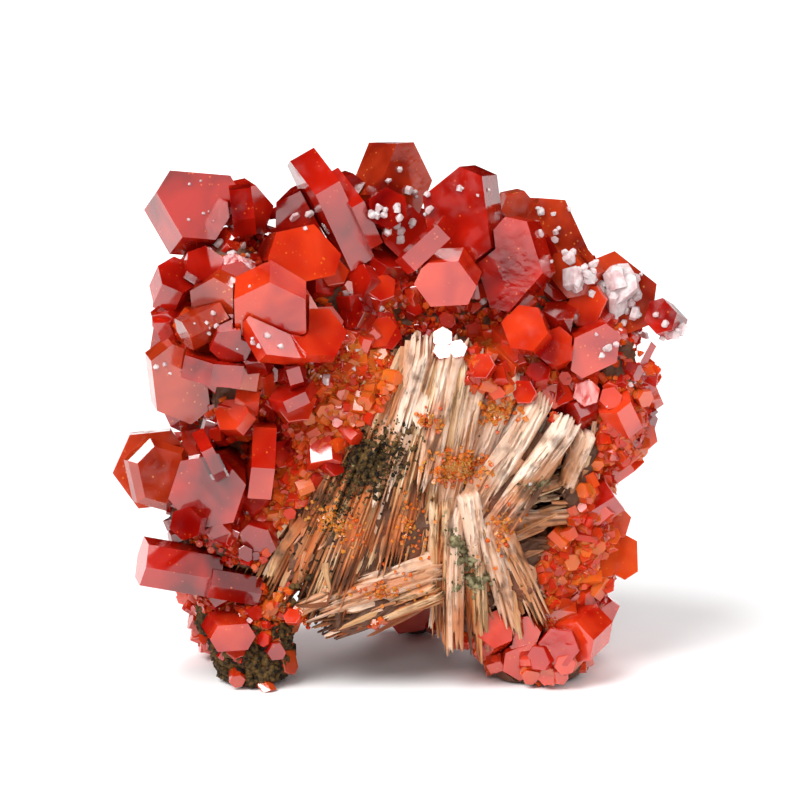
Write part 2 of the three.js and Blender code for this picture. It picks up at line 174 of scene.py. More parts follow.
def mix(tree, factor, a, b, blend="MIX"):
    made = node(tree, "ShaderNodeMix", data_type="RGBA", blend_type=blend)
    for socket, source in zip((0, 6, 7), (factor, a, b)):
        if isinstance(source, bpy.types.NodeSocket):
            tree.links.new(source, made.inputs[socket])
        elif socket == 0:
            made.inputs[0].default_value = source
        else:
            made.inputs[socket].default_value = (*source, 1)
    return made.outputs[2]


def new_material(name):
    """A material, its node tree, its shader, and the object coordinates to put patterns in."""
    material = bpy.data.materials.new(name)
    material.use_nodes = True
    tree = material.node_tree
    return material, tree, tree.nodes["Principled BSDF"], node(tree, "ShaderNodeTexCoord").outputs["Object"]


def noise_texture(tree, place, scale, detail, **more):
    return node(tree, "ShaderNodeTexNoise", {"Vector": place, "Scale": scale, "Detail": detail, **more})


def roughen(tree, shader, height, strength, distance):
    """Fine bumps in the shading, this far in metres, on top of what the mesh has."""
    links = {"Height": height.outputs["Fac"], "Strength": strength, "Distance": distance}
    bump = node(tree, "ShaderNodeBump", links)
    tree.links.new(bump.outputs["Normal"], shader.inputs["Normal"])


def scatter(shader, weight, radius, scale):
    """Light that scatters under the skin, each colour reaching radius times scale, in metres."""
    shader.inputs["Subsurface Weight"].default_value = weight
    shader.inputs["Subsurface Radius"].default_value = radius
    shader.inputs["Subsurface Scale"].default_value = scale


def vanadinite(name, deep, bright, painted_glint_and_tone, transmission=0.3, rough=0.1, glow=0.5, ior=1.95):
    """Deep red, glassy and translucent, clouded by brighter zones, with small orange glints inside painted
    into the base colour.

    glow is the share of the light that scatters under the skin.
    """
    material, tree, shader, place = new_material(name)
    clouds = noise_texture(tree, place, 150, 2, Roughness=0.5, Distortion=0.4)
    specks = node(tree, "ShaderNodeTexVoronoi", {"Vector": place, "Scale": 1500})
    speck_patches = noise_texture(tree, place, 330, 1)
    tint = node(tree, "ShaderNodeAttribute", attribute_name="tint")
    colour = ramp(tree, clouds.outputs["Fac"], [(0.34, deep), (0.62, bright)])
    # Painted glints: small orange specks, in patches, that stand for light reflected inside the crystal.
    speck = ramp(tree, specks.outputs["Distance"], [(0.10, FULL), (0.22, NONE)])
    patch = ramp(tree, speck_patches.outputs["Fac"], [(0.5, NONE), (0.66, FULL)])
    where = mix(tree, 1, speck, patch, "MULTIPLY")
    colour = mix(tree, where, colour, painted_glint_and_tone)
    # The tint attribute mixes in the same orange as a paler tone of the crystal itself.
    colour = mix(tree, tint.outputs["Fac"], colour, painted_glint_and_tone)
    tree.links.new(colour, shader.inputs["Base Color"])
    smear = noise_texture(tree, place, 700, 2)
    smear_range = {"From Min": 0.35, "From Max": 0.75, "To Min": rough * 0.5, "To Max": rough * 1.8}
    roughness = node(tree, "ShaderNodeMapRange", {"Value": smear.outputs["Fac"], **smear_range})
    tree.links.new(roughness.outputs["Result"], shader.inputs["Roughness"])
    ripples = noise_texture(tree, place, 900, 2)
    roughen(tree, shader, ripples, 0.12, 0.0001)
    shader.inputs["IOR"].default_value = ior
    shader.inputs["Transmission Weight"].default_value = transmission
    scatter(shader, glow, (1, 0.08, 0.03), 0.0012)
    return material


DIRT = (0.12, 0.04, 0.012)
RUST = (0.50, 0.12, 0.02)
# At tint 0 the barite takes this colour: painted shade on the slabs' lower layers and grooves, and on the
# core, which has no tint, between the blades; real dark in the manganese zones and on the darkest splinters.
DARK_STAIN_AND_PAINTED_SHADE = (0.10, 0.035, 0.012)  # the darkest colour, partly painted shade


def barite(name, stained, body, pale, streaked=True):
    """Tan barite: splinters in shades ("tint", which partly carries painted shade), streaked along their
    length ("strand"), dirty in patches.

    "stain" is the share of rust.
    """
    material, tree, shader, place = new_material(name)
    strand = node(tree, "ShaderNodeAttribute", attribute_name="strand").outputs["Vector"]
    if streaked:
        grain = noise_texture(tree, strand, 3.5, 4, Roughness=0.7)
    else:
        grain = noise_texture(tree, place, 700, 4, Roughness=0.7)
    patches = noise_texture(tree, place, 210, 3, Distortion=0.4)
    dirt = noise_texture(tree, place, 380, 4)
    tint = node(tree, "ShaderNodeAttribute", attribute_name="tint")
    colour = ramp(tree, tint.outputs["Fac"], [(0, DARK_STAIN_AND_PAINTED_SHADE), (0.16, stained), (0.45, body), (1, pale)])
    stops = [(0.30, (0.62, 0.42, 0.28)), (0.42, (0.94, 0.88, 0.82)), (0.6, FULL)]
    streaks = ramp(tree, grain.outputs["Fac"], stops)
    colour = mix(tree, 1, colour, streaks, "MULTIPLY")
    stains = ramp(tree, patches.outputs["Fac"], [(0.52, NONE), (0.7, (0.7,) * 3)])
    colour = mix(tree, stains, colour, stained)
    rust = node(tree, "ShaderNodeAttribute", attribute_name="stain")
    colour = mix(tree, rust.outputs["Fac"], colour, RUST)
    dirty = ramp(tree, dirt.outputs["Fac"], [(0.56, NONE), (0.72, (0.8,) * 3)])
    colour = mix(tree, dirty, colour, DIRT)
    tree.links.new(colour, shader.inputs["Base Color"])
    shader.inputs["Roughness"].default_value = 0.6
    scatter(shader, 0.2, (1, 0.5, 0.25), 0.0006)
    roughen(tree, shader, grain, 0.7, 0.00025)
    return material


def crust(name, dark, light):
    """A dull grainy crust."""
    material, tree, shader, place = new_material(name)
    grain = noise_texture(tree, place, 1500, 4)
    colour = ramp(tree, grain.outputs["Fac"], [(0.4, dark), (0.65, light)])
    tree.links.new(colour, shader.inputs["Base Color"])
    shader.inputs["Roughness"].default_value = 0.75
    shader.inputs["Specular IOR Level"].default_value = 0.2
    return material


def pale_grain(name):
    """Clear to milky quartz or calcite."""
    material, tree, shader, place = new_material(name)
    milk = noise_texture(tree, place, 1200, 2)
    colour = ramp(tree, milk.outputs["Fac"], [(0.35, (0.74, 0.50, 0.51)), (0.65, (0.95, 0.86, 0.85))])
    tree.links.new(colour, shader.inputs["Base Color"])
    shader.inputs["Roughness"].default_value = 0.2
    shader.inputs["IOR"].default_value = 1.54
    shader.inputs["Transmission Weight"].default_value = 0.25
    scatter(shader, 0.4, (1, 0.9, 0.9), 0.0008)
    return material


DEEP = vanadinite(
    "vanadinite_deep", (0.20, 0.001, 0.001), (0.58, 0.013, 0.004), (0.90, 0.15, 0.02), 0.25, glow=0.2)
BROWN = vanadinite(
    "vanadinite_brown_red", (0.22, 0.007, 0.002), (0.60, 0.050, 0.010), (0.85, 0.28, 0.06), 0.2, 0.14, 0.2)
BRIGHT = vanadinite(
    "vanadinite_bright", (0.50, 0.004, 0.002), (0.90, 0.060, 0.012), (0.92, 0.20, 0.03), glow=0.35)
ORANGE = vanadinite(
    "vanadinite_orange", (0.66, 0.035, 0.005), (0.88, 0.11, 0.015), (0.94, 0.30, 0.05), rough=0.12)
# A lower index keeps the mirror flashes of thousands of tiny faces down.
DRUSE_RED = vanadinite(
    "vanadinite_druse_red", (0.56, 0.008, 0.002), (0.90, 0.050, 0.010), (0.94, 0.26, 0.03),
    rough=0.15, ior=1.5)
DRUSE_ORANGE = vanadinite(
    "vanadinite_druse_orange", (0.72, 0.045, 0.004), (0.95, 0.15, 0.014), (0.96, 0.40, 0.07),
    rough=0.15, ior=1.5)
BARITE = barite("barite_tan", (0.44, 0.11, 0.02), (0.52, 0.29, 0.13), (0.78, 0.57, 0.39))
BARITE_CREAM = barite("barite_cream", (0.52, 0.22, 0.09), (0.66, 0.41, 0.28), (0.87, 0.71, 0.59))
# The core has no tint attribute, so it shows the darkest colour, painted shade between the blades, with stain
# patches in these colours.
BARITE_CORE = barite(
    "barite_core", (0.20, 0.04, 0.008), (0.26, 0.07, 0.016), (0.34, 0.12, 0.035), streaked=False)
BLACK = crust("manganese_crust", (0.010, 0.006, 0.003), (0.13, 0.07, 0.018))
GREEN = crust("olive_crust", (0.07, 0.055, 0.02), (0.30, 0.26, 0.14))
GRAIN = pale_grain("pale_quartz")

# ---- mesh building ----

CLEARANCE = 0.03  # nothing grown reaches below this height over the resting plane


class Heap:
    """Many small closed shapes that become one mesh. The barite materials read strands and stains."""

    def __init__(self, name, material, slot, smooth=False):
        self.name, self.material, self.slot, self.smooth = name, material, slot, smooth
        self.places, self.faces, self.tints = [], [], []
        self.strands, self.stains = [], []

    def add(self, places, faces, tint=0.0, strands=(), stains=()):
        start = len(self.places)
        self.places += [Vector((p.x, p.y, max(p.z, CLEARANCE))) for p in places]
        self.faces += [[start + i for i in face] for face in faces]
        self.tints += list(tint) if hasattr(tint, "__len__") else [tint] * len(places)
        self.strands += [tuple(s) for s in strands]
        self.stains += stains

    def build(self):
        mesh = bpy.data.meshes.new(self.name)
        mesh.from_pydata([p * MM for p in self.places], [], self.faces)
        tint = mesh.attributes.new("tint", "FLOAT", "POINT")
        tint.data.foreach_set("value", self.tints)
        if self.strands:
            strand = mesh.attributes.new("strand", "FLOAT_VECTOR", "POINT")
            strand.data.foreach_set("vector", [value for s in self.strands for value in s])
            stain = mesh.attributes.new("stain", "FLOAT", "POINT")
            stain.data.foreach_set("value", self.stains)
        mesh.materials.append(self.material)
        if self.smooth:
            mesh.polygons.foreach_set("use_smooth", [True] * len(mesh.polygons))
        made = bpy.data.objects.new(self.name, mesh)
        bpy.context.collection.objects.link(made)
        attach(made, "root")
        return made


def crystal_heaps(name):
    """One heap for each shade of crystal: deep red, bright red and orange."""
    shades_of_red = (("red", DEEP), ("bright", BRIGHT), ("orange", ORANGE))
    return [Heap(f"{name}_{shade}", material, "vanadinite") for shade, material in shades_of_red]


def druse_heaps(name):
    """One heap of red and one of orange."""
    kinds = (("red", DRUSE_RED), ("orange", DRUSE_ORANGE))
    return [Heap(f"{name}_{kind}", material, "vanadinite") for kind, material in kinds]


def random_vector(rng, spread=1):
    return Vector((rng.gauss(0, spread), rng.gauss(0, spread), rng.gauss(0, spread)))


def outline(sides):
    """The six-cornered outline with these distances from its middle to its six sides."""
    far = 4 * max(sides)
    points = [Vector((-far, -far)), Vector((far, -far)), Vector((far, far)), Vector((-far, far))]
    for k, side in enumerate(sides):
        turn = math.radians(30 + 60 * k)
        normal = Vector((math.cos(turn), math.sin(turn)))
        kept = []
        for p, q in zip(points, points[1:] + points[:1]):
            a, b = p.dot(normal) - side, q.dot(normal) - side
            if a <= 0:
                kept.append(p)
            if (a < 0) != (b < 0):
                kept.append(p.lerp(q, a / (a - b)))
        points = kept
    return points


def normal_of(turn, rise):
    """The way a face looks that is turned this far right of the front and tipped this far up, in degrees."""
    turn, rise = math.radians(turn), math.radians(rise)
    level = math.cos(rise)
    return Vector((math.sin(turn) * level, -math.cos(turn) * level, math.sin(rise)))


def placed(at, normal, spin):
    """The matrix that puts a crystal's outer end face at a point, facing along normal."""
    up = Vector((0, 0, 1)) if abs(normal.z) < 0.99 else Vector((0, 1, 0))
    y = (up - normal * up.dot(normal)).normalized()
    x = y.cross(normal)
    turn = Matrix((x, y, normal)).transposed() @ Matrix.Rotation(math.radians(spin), 3, "Z")
    return Matrix.Translation(at) @ turn.to_4x4()


BEVEL_SLOPE = 0.6


def add_crystal(heap, at, normal, sides, long, spin=0, bevel=0.12, tint=0.0):
    """A six-sided prism with a bevel round its outer end."""
    matrix = placed(Vector(at), normal, spin)
    broad = outline(sides)
    narrow = [p * (1 - bevel / max(min(sides), 0.1) * BEVEL_SLOPE) for p in broad]
    n = len(broad)
    rings = [(narrow, 0), (broad, -bevel * BEVEL_SLOPE), (broad, -long)]
    places = [matrix @ Vector((p.x, p.y, z)) for ring, z in rings for p in ring]
    faces = [list(range(n)), list(range(3 * n - 1, 2 * n - 1, -1))]
    for r in range(2):
        for i in range(n):
            j = (i + 1) % n
            faces.append([r * n + i, (r + 1) * n + i, (r + 1) * n + j, r * n + j])
    heap.add(places, faces, tint)


def ball(detail):
    """The places and faces of a ball of radius 1."""
    work = bmesh.new()
    bmesh.ops.create_icosphere(work, subdivisions=detail, radius=1)
    places = [v.co.copy() for v in work.verts]
    faces = [[v.index for v in f.verts] for f in work.faces]
    work.free()
    return places, faces


BALL = ball(1)
LUMP_GRAIN, LUMP_ROUGHNESS = 1.7, 0.6


def add_lump(heap, rng, at, size, squash):
    """A rough ball, squashed one way and turned any way."""
    places, faces = BALL
    shift = Vector((rng.uniform(0, 90), rng.uniform(0, 90), rng.uniform(0, 90)))
    turn = Matrix.Rotation(rng.uniform(0, 6.28), 3, random_vector(rng).normalized())
    made = []
    for p in places:
        swell = 1 + LUMP_ROUGHNESS * noise.noise(p * LUMP_GRAIN + shift)
        made.append(at + turn @ Vector((p.x * size * swell, p.y * size * swell, p.z * size * swell * squash)))
    heap.add(made, faces)


# ---- the core of the matrix ----

CORE_VOXEL = 0.0006  # metres
CORE_SMOOTHING, CORE_SMOOTHING_PASSES = 0.8, 6
ROUGH_BROAD, ROUGH_FINE = 0.8, 0.25  # heights of the broad and the fine roughness
ROUGH_INWARD = 0.3  # how far the whole surface moves in, to leave the roughness room
FLAT_BELOW, ROUGH_ABOVE = 0.4, 2.4  # the resting faces stay flat; the roughness sets in between these heights


def make_core():
    """The CAD matrix, remeshed finely and roughened, as the ground that everything else grows on."""
    core = NODES["barite_matrix"].copy()
    core.data = core.data.copy()
    core.name = "barite_core"
    core.parent = None
    core.matrix_world = Matrix.Identity(4)
    bpy.context.collection.objects.link(core)
    remesh = core.modifiers.new("remesh", "REMESH")
    remesh.mode = "VOXEL"
    remesh.voxel_size = CORE_VOXEL
    smooth = core.modifiers.new("smooth", "SMOOTH")
    smooth.factor, smooth.iterations = CORE_SMOOTHING, CORE_SMOOTHING_PASSES
    bpy.context.view_layer.update()
    mesh = bpy.data.meshes.new_from_object(core.evaluated_get(bpy.context.evaluated_depsgraph_get()))
    core.modifiers.clear()
    core.data = mesh
    normals = [v.normal.copy() for v in mesh.vertices]
    for v, n in zip(mesh.vertices, normals):
        p = v.co / MM
        rough = ROUGH_BROAD * noise.fractal(p * 0.35, 0.9, 2.2, 4) + ROUGH_FINE * noise.noise(p * 1.6)
        away = max(0.0, min(1.0, (p.z - FLAT_BELOW) / (ROUGH_ABOVE - FLAT_BELOW)))
        v.co += n * (rough - ROUGH_INWARD) * MM * away
    mesh.materials.clear()
    mesh.materials.append(BARITE_CORE)
    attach(core, "root")
    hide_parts("barite_matrix")
    return core


class Ground:
    """Points on a mesh, for growing things on."""

    def __init__(self, obj):
        mesh = obj.data
        mesh.calc_loop_triangles()
        corners = np.array([v.co[:] for v in mesh.vertices]) / MM
        self.tri = corners[np.array([t.vertices[:] for t in mesh.loop_triangles])]
        cross = np.cross(self.tri[:, 1] - self.tri[:, 0], self.tri[:, 2] - self.tri[:, 0])
        self.area = np.linalg.norm(cross, axis=1) / 2
        self.normal = cross / np.maximum(2 * self.area[:, None], 1e-9)
        self.middle = self.tri.mean(axis=1)

    def sample(self, rng, count, weight):
        """count random (point, normal) pairs, spread by area times weight(middles, normals)."""
        density = self.area * weight(self.middle, self.normal)
        total = np.cumsum(density)
        picks = np.searchsorted(total, np.array([rng.random() for _ in range(count)]) * total[-1])
        for pick in picks:
            a, b = rng.random(), rng.random()
            if a + b > 1:
                a, b = 1 - a, 1 - b
            t = self.tri[pick]
            yield Vector(t[0] + a * (t[1] - t[0]) + b * (t[2] - t[0])), Vector(self.normal[pick])


# The open window in the crystals where the barite shows at the front: x and z corners.
WINDOW = [
    (-1.7, 40.6), (6, 41.8), (9.5, 41.2), (8.9, 34.6), (18.9, 32.2), (23.6, 31), (22.4, 15.4), (18.9, 11.8),
    (16.5, 9.4), (10.7, 4.6), (4.2, 5.8), (3.6, 11.2), (-8.1, 7), (-12.8, 8.8), (-18.6, 10.6), (-16.9, 17.8),
    (-11.6, 22.6), (-8.1, 26.2), (-5.8, 31), (-2.8, 35.8),
]
WINDOW_MIDDLE = (3.0, 23.0)
# The strip of orange druse beside the window, on the left.
BAND = [
    (-16, 20), (-17.4, 26), (-15.7, 34.6), (-11.6, 39.4), (-5.7, 43), (-1.7, 41), (-4.5, 34.6), (-8, 28.6),
    (-12.7, 22.6),
]
NOWHERE = 1e-9  # a weight that keeps the sum of weights above 0


def polygon_mask(corners, x, z):
    """True where a point lies inside the polygon."""
    within = np.zeros(np.shape(x), bool)
    for (xa, za), (xb, zb) in zip(corners, corners[1:] + corners[:1]):
        crossing = (za > z) != (zb > z)
        at = xa + (z - za) * (xb - xa) / ((zb - za) or 1e-9)
        within ^= crossing & (x < at)
    return within


def inside(corners, x, z):
    return bool(polygon_mask(corners, np.array([x]), np.array([z]))[0])


def in_window(middles, grow=0.0):
    """1 where a point on the front lies in the window, made larger by grow, else 0."""
    cx, cz = WINDOW_MIDDLE
    corners = [(cx + (a - cx) * (1 + grow), cz + (b - cz) * (1 + grow)) for a, b in WINDOW]
    return (polygon_mask(corners, middles[:, 0], middles[:, 2]) & (middles[:, 1] < 0)).astype(float)


def outside_window(middles, normals):
    """Crystals grow everywhere but in the window and on the underside."""
    under = (normals[:, 2] < -0.55) | (middles[:, 2] < 2.5) | dark_foot(middles)
    return (1 - in_window(middles)) * np.where(under, 0.06, 1)


def dark_foot(middles):
    """The lump of dark crust that the left foot stands on, in front."""
    return (middles[:, 0] < -9) & (middles[:, 1] < -1) & (middles[:, 2] < 7.5)


# ---- crystals and druse ----


def leaning(rng, normal, spread):
    """The normal, leaning a random way."""
    return (normal + spread * random_vector(rng)).normalized()


def uneven(rng, r, spread=0.18):
    """Distances of a crystal's six sides from its middle."""
    return [r * rng.uniform(1 - spread, 1 + spread) for _ in range(6)]


def shades(rng, point):
    """Which of the red, bright and orange heaps a crystal joins: orange near the barite and at the feet."""
    if point.y < 2 and -10 < point.x < 16 and 32 < point.z < 47:
        weights = (3, 5, 3)
    elif point.y < 2 and point.x > 16 and point.z < 42:
        weights = (4, 4, 3)
    elif point.z < 16:
        weights = (3, 4, 4)
    else:
        weights = (6, 3, 0.7)
    return rng.choices((0, 1, 2), weights)[0]


LARGER, SMALLER, AT_FEET = 620, 1500, 420  # how many crystals


def grow_medium(ground):
    """Crystals of one to four millimetres, between the large ones, all round."""
    rng = random.Random(11)
    heaps = crystal_heaps("crystals_medium")

    def high(middles, normals):
        lift = np.clip((middles[:, 2] - 14) / 22, 0.12, 1)
        return outside_window(middles, normals) * lift

    def low(middles, normals):
        """The feet, but for the dark lump in front on the left."""
        height = middles[:, 2]
        steep = np.abs(normals[:, 2]) < 0.7
        return (height > 1.2) * (height < 5) * steep * np.where(dark_foot(middles), 0, 1.0) + NOWHERE

    def plant(point, normal, r, lean, length, depth, bevel):
        face = leaning(rng, normal, lean)
        long = r * rng.uniform(*length)
        heap = heaps[shades(rng, point)]
        at = point + face * long * rng.uniform(*depth)
        add_crystal(heap, at, face, uneven(rng, r), long, rng.uniform(0, 60), bevel)

    for point, normal in ground.sample(rng, LARGER, high):
        r = rng.choice([0.8, 1.0, 1.3, 1.7, 2.1]) * rng.uniform(0.85, 1.15)
        if point.y < 0 and inside(BAND, point.x, point.z):
            r = min(r, 0.9)
        plant(point, normal, r, 0.5, (1.4, 2.4), (0.25, 0.5), 0.1)
    for point, normal in ground.sample(rng, SMALLER, outside_window):
        plant(point, normal, rng.uniform(0.4, 0.95), 0.6, (1.6, 3), (0.3, 0.6), 0.06)
    for point, normal in ground.sample(rng, AT_FEET, low):
        r = rng.uniform(0.4, 1.1)
        face = leaning(rng, Vector((normal.x, normal.y, 0.15)), 0.3)
        point.z = max(point.z, r + 0.2)
        heap = heaps[1 if point.x < 0 else rng.choice((1, 2))]
        add_crystal(heap, point + face * r * 0.9, face, uneven(rng, r), r * 1.8, rng.uniform(0, 60), 0.08)
    for heap in heaps:
        heap.build()


DRUSE_ALL_ROUND, DRUSE_IN_BAND = 5900, 2000  # how many prisms


def grow_druse(ground):
    """The crust of tiny prisms."""
    rng = random.Random(23)
    heaps = druse_heaps("druse")

    def edges(middles, normals):
        near = in_window(middles, 0.45) - in_window(middles, 0)
        return outside_window(middles, normals) * (0.35 + 1.8 * np.clip(near, 0, 1))

    def band(middles, normals):
        return polygon_mask(BAND, middles[:, 0], middles[:, 2]) * (middles[:, 1] < 0) + NOWHERE

    def plant(point, normal, r, orange):
        face = leaning(rng, normal, 0.7)
        long = r * rng.uniform(2, 4)
        heap = heaps[1 if rng.random() < orange else 0]
        at = point + face * long * rng.uniform(0.35, 0.6)
        add_crystal(heap, at, face, [r] * 6, long, rng.uniform(0, 60), 0.03, rng.uniform(0, 0.3) ** 2)

    for point, normal in ground.sample(rng, DRUSE_ALL_ROUND, edges):
        plant(point, normal, rng.uniform(0.18, 0.42), 0.5)
    for point, normal in ground.sample(rng, DRUSE_IN_BAND, band):
        plant(point, normal, rng.uniform(0.16, 0.4), 0.7)
    for heap in heaps:
        heap.build()


# Patches on the barite: x, z, half width, half height, tilt in degrees, how many grains and their size.
PATCHES = {
    "crust_black": (BLACK, [
        (-3.4, 27.4, 4.6, 2.8, 45, 40, 0.5), (-3.6, 27.6, 4.2, 3, 45, 420, 0.4),
        (-3.4, 27.4, 6, 3.4, 45, 800, 0.24), (-7, 22, 5.2, 2.6, 60, 420, 0.2),
        (-11.8, 11.8, 3.6, 0.8, 70, 14, 0.5), (-11.8, 11.8, 3.8, 1.1, 70, 80, 0.2),
    ]),
    "crust_olive": (GREEN, [
        (7.2, 17.5, 0.9, 3.8, 25, 30, 0.6), (7.2, 17.5, 1.2, 4.2, 25, 200, 0.2),
        (8.6, 13.4, 2.2, 1.2, 0, 26, 0.6), (8.6, 13.4, 2.6, 1.5, 0, 160, 0.22),
        (16.5, 25, 2.4, 1, 10, 70, 0.22), (-3, 28, 5.6, 3.2, 45, 600, 0.19),
    ]),
    "druse_cauliflower": (DRUSE_ORANGE, [
        (6.6, 27.2, 2.6, 1.7, 0, 560, 0.24), (3.6, 33, 1.2, 1.6, 60, 50, 0.24),
        (11.5, 33.5, 2.6, 1.6, 0, 90, 0.3), (-7, 20, 2.2, 4.4, 60, 150, 0.2),
        (-2, 12.5, 3, 1.2, 10, 80, 0.22), (1, 20, 2, 5, 0, 70, 0.2), (12, 20, 2.4, 4, 0, 70, 0.22),
    ]),
}

# Middle-sized crystals set on the front: x, z, turn and rise of the end face, spin, radius, length,
# and shade (0 deep, 1 bright, 2 orange).
FRONT_CRYSTALS = [
    (-22, 34.4, 20, 70, 0, 0.8, 3.2, 1), (-21.6, 31.1, 30, 60, 20, 0.9, 4.8, 0),
    (-18.8, 33.3, -35, 35, 10, 2, 1.8, 1), (-24, 28.6, -30, 10, 0, 0.9, 1.5, 0),
    (-20.9, 26.1, 40, 50, 0, 0.9, 2.6, 0), (-17.2, 35.1, 10, 55, 15, 1.3, 2.6, 1),
    (-12.1, 37.5, 35, 10, 20, 1.5, 2.4, 0), (-11.8, 34.3, 10, 20, 5, 2.1, 2.6, 1),
    (-14.6, 31, -20, 30, 25, 1.5, 2.4, 0), (-13.4, 28, 10, 15, 10, 1.4, 2.2, 1),
    (-25.6, 9.6, -20, 10, 0, 1.3, 2, 1), (-24, 8.6, 10, -5, 20, 1.1, 2, 2),
    (-26.5, 11.4, -40, 15, 10, 1.1, 2, 1), (-18.9, 4.9, 5, 20, 20, 1.2, 2, 2),
    (-14.3, 4.8, 20, 5, 0, 1, 1.8, 0), (-11.6, 7.6, 10, 10, 10, 1.1, 2, 2),
    (-10.2, 6.6, 30, 0, 25, 1, 1.8, 2), (-12.2, 9.4, -10, 25, 0, 0.9, 1.6, 1),
    (-27.1, 19.7, -40, 20, 0, 1.2, 1.8, 0), (8.9, 51.2, 20, 25, 10, 1.2, 1.8, 1),
    (14.4, 35.6, -10, 20, 0, 1.3, 2.4, 1), (17.4, 34.4, 25, 25, 20, 1.3, 2.4, 2),
    (16, 37.4, 5, 45, 10, 1.3, 2.2, 1), (18.1, 40.5, 30, 60, 0, 1.2, 3, 1),
    (21.5, 36, 10, 10, 15, 1.5, 1.8, 1), (29.8, 34, 30, 5, 0, 1.3, 1.8, 2),
    (26.7, 26.4, 25, 10, 12, 1.6, 2.2, 2), (26.5, 22.3, 35, 10, 0, 1.7, 2.2, 1),
    (26.5, 18.6, 30, -5, 20, 1.5, 2, 1), (31.3, 38.5, 50, 20, 0, 0.9, 1.6, 2),
    (19.2, 3.4, 10, 0, 10, 1.2, 1.8, 1), (16.6, 4.2, -30, 5, 0, 1.3, 2, 0),
    (24, 13.5, 20, 15, 0, 1.5, 2.2, 2), (9.5, 39.2, -10, 20, 0, 1.3, 1.8, 1),
    (12.4, 39.6, 15, 30, 25, 1.3, 2, 1), (-4.8, 44.5, -38, 18, 10, 1.7, 2.4, 0),
    (-18.6, 48.6, 20, 30, 10, 1.9, 2.6, 0), (-25.6, 31.4, -20, 5, 12, 2, 3, 0),
    (-22.6, 38.4, 10, 20, 5, 1.6, 2.4, 1), (-7.4, 48.6, 0, 30, 10, 1.5, 2.2, 1),
    (-3.4, 49.5, -10, 40, 22, 1.4, 2.2, 0), (-14.6, 51, 15, 20, 4, 1.6, 2.4, 0),
    (-2, 47, 10, 35, 20, 1.6, 2.2, 1), (-8.4, 43.5, 20, 25, 0, 1.7, 2.6, 1),
    (-16.2, 40.4, -10, 45, 12, 1.9, 2.8, 0), (-20.4, 42.6, -30, 30, 0, 1.7, 2.6, 0),
    (-26.4, 34, -45, 25, 5, 1.8, 2.6, 0), (-25.6, 38, -30, 40, 18, 1.6, 2.6, 1),
]


def place_crystals(front):
    """The middle-sized crystals set one by one from the table. front is what front_of gives."""
    rng = random.Random(53)
    heaps = crystal_heaps("crystals_set")
    for x, z, turn, rise, spin, r, long, shade in FRONT_CRYSTALS:
        point, _ = front(x + SHIFT.x, z)
        if point is None:
            continue
        face = normal_of(turn, rise)
        at = point + Vector((0, -1, 0)) * r * 0.9 + face * long * 0.35
        add_crystal(heaps[shade], at, face, uneven(rng, r, 0.12), long, spin)
    for heap in heaps:
        heap.build()


# Fields of small prisms over the edges of the barite: x and z corners, how many, smallest and largest radius,
# and the share of orange ones.
DRUSE_FIELDS = [
    ([
        (-5.5, 41), (-0.8, 39.5), (-0.6, 36.5), (-2.4, 33.6), (-5.4, 30.6), (-8.6, 26.6), (-11.6, 22.2),
        (-14.2, 18.6), (-16.6, 14), (-18.6, 18), (-14, 26), (-9.5, 34),
    ], 2000, 0.16, 0.6, 0.72),
    ([
        (16.4, 14.5), (20.8, 21.5), (22.8, 26), (23.6, 31.5), (28, 31), (27.5, 15), (22.5, 8.5),
        (17.6, 9.5),
    ], 1700, 0.18, 0.75, 0.4),
    ([
        (7.5, 37.5), (9, 42.5), (18, 41), (23.5, 36), (22, 32.5), (18.5, 33.8), (13.4, 37.6), (10.5, 35),
    ], 500, 0.25, 0.8, 0.3),
    ([
        (-16.5, 12), (-12.5, 12.5), (-9.5, 5.5), (-17, 5.5),
    ], 200, 0.2, 0.6, 0.7),
]


def grow_fields(front):
    rng = random.Random(59)
    heaps = druse_heaps("druse_field")
    for corners, count, smallest, largest, orange in DRUSE_FIELDS:
        low, high = [min(c) for c in zip(*corners)], [max(c) for c in zip(*corners)]
        grown = 0
        while grown < count:
            x, z = rng.uniform(low[0], high[0]), rng.uniform(low[1], high[1])
            if not inside(corners, x, z):
                continue
            grown += 1
            point, normal = front(x + SHIFT.x, z)
            if point is None:
                continue
            r = smallest + (largest - smallest) * rng.random() ** 3 * rng.choice((1, 1, 1, 1.7))
            face = leaning(rng, normal, 0.8)
            heap = heaps[1 if rng.random() < orange else 0]
            sides, long = uneven(rng, r), r * rng.uniform(1.6, 3)
            spin, tint = rng.uniform(0, 60), rng.uniform(0, 0.5) ** 2
            add_crystal(heap, point + face * r * 1.1, face, sides, long, spin, 0.06, tint)
    for heap in heaps:
        heap.build()


def grow_patches(front):
    rng = random.Random(41)
    for name, (material, patches) in PATCHES.items():
        prisms = material is DRUSE_ORANGE
        heap = Heap(name, material, "vanadinite" if prisms else "barite", smooth=not prisms)
        for x, z, half_wide, half_high, tilt, count, size in patches:
            turn = math.radians(tilt)
            for _ in range(count):
                angle, far = rng.uniform(0, 2 * math.pi), abs(rng.gauss(0, 0.62))
                a, b = math.cos(angle) * far * half_wide, math.sin(angle) * far * half_high
                across = x + a * math.cos(turn) - b * math.sin(turn)
                up = z + a * math.sin(turn) + b * math.cos(turn)
                place = Vector((across, up))
                point, normal = front(place.x + SHIFT.x, place.y)
                if point is None:
                    continue
                if prisms:
                    face = leaning(rng, normal, 0.8)
                    sides, spin = [size * rng.uniform(0.5, 1)] * 6, rng.uniform(0, 60)
                    at = point + face * size * 0.6
                    add_crystal(heap, at, face, sides, size * 2, spin, 0.04, rng.uniform(0.1, 0.7))
                else:
                    at = point + normal * 0.1
                    add_lump(heap, rng, at, size * rng.uniform(0.5, 1.2), rng.uniform(0.5, 1))
        heap.build()


FOOT_LUMPS = 1500


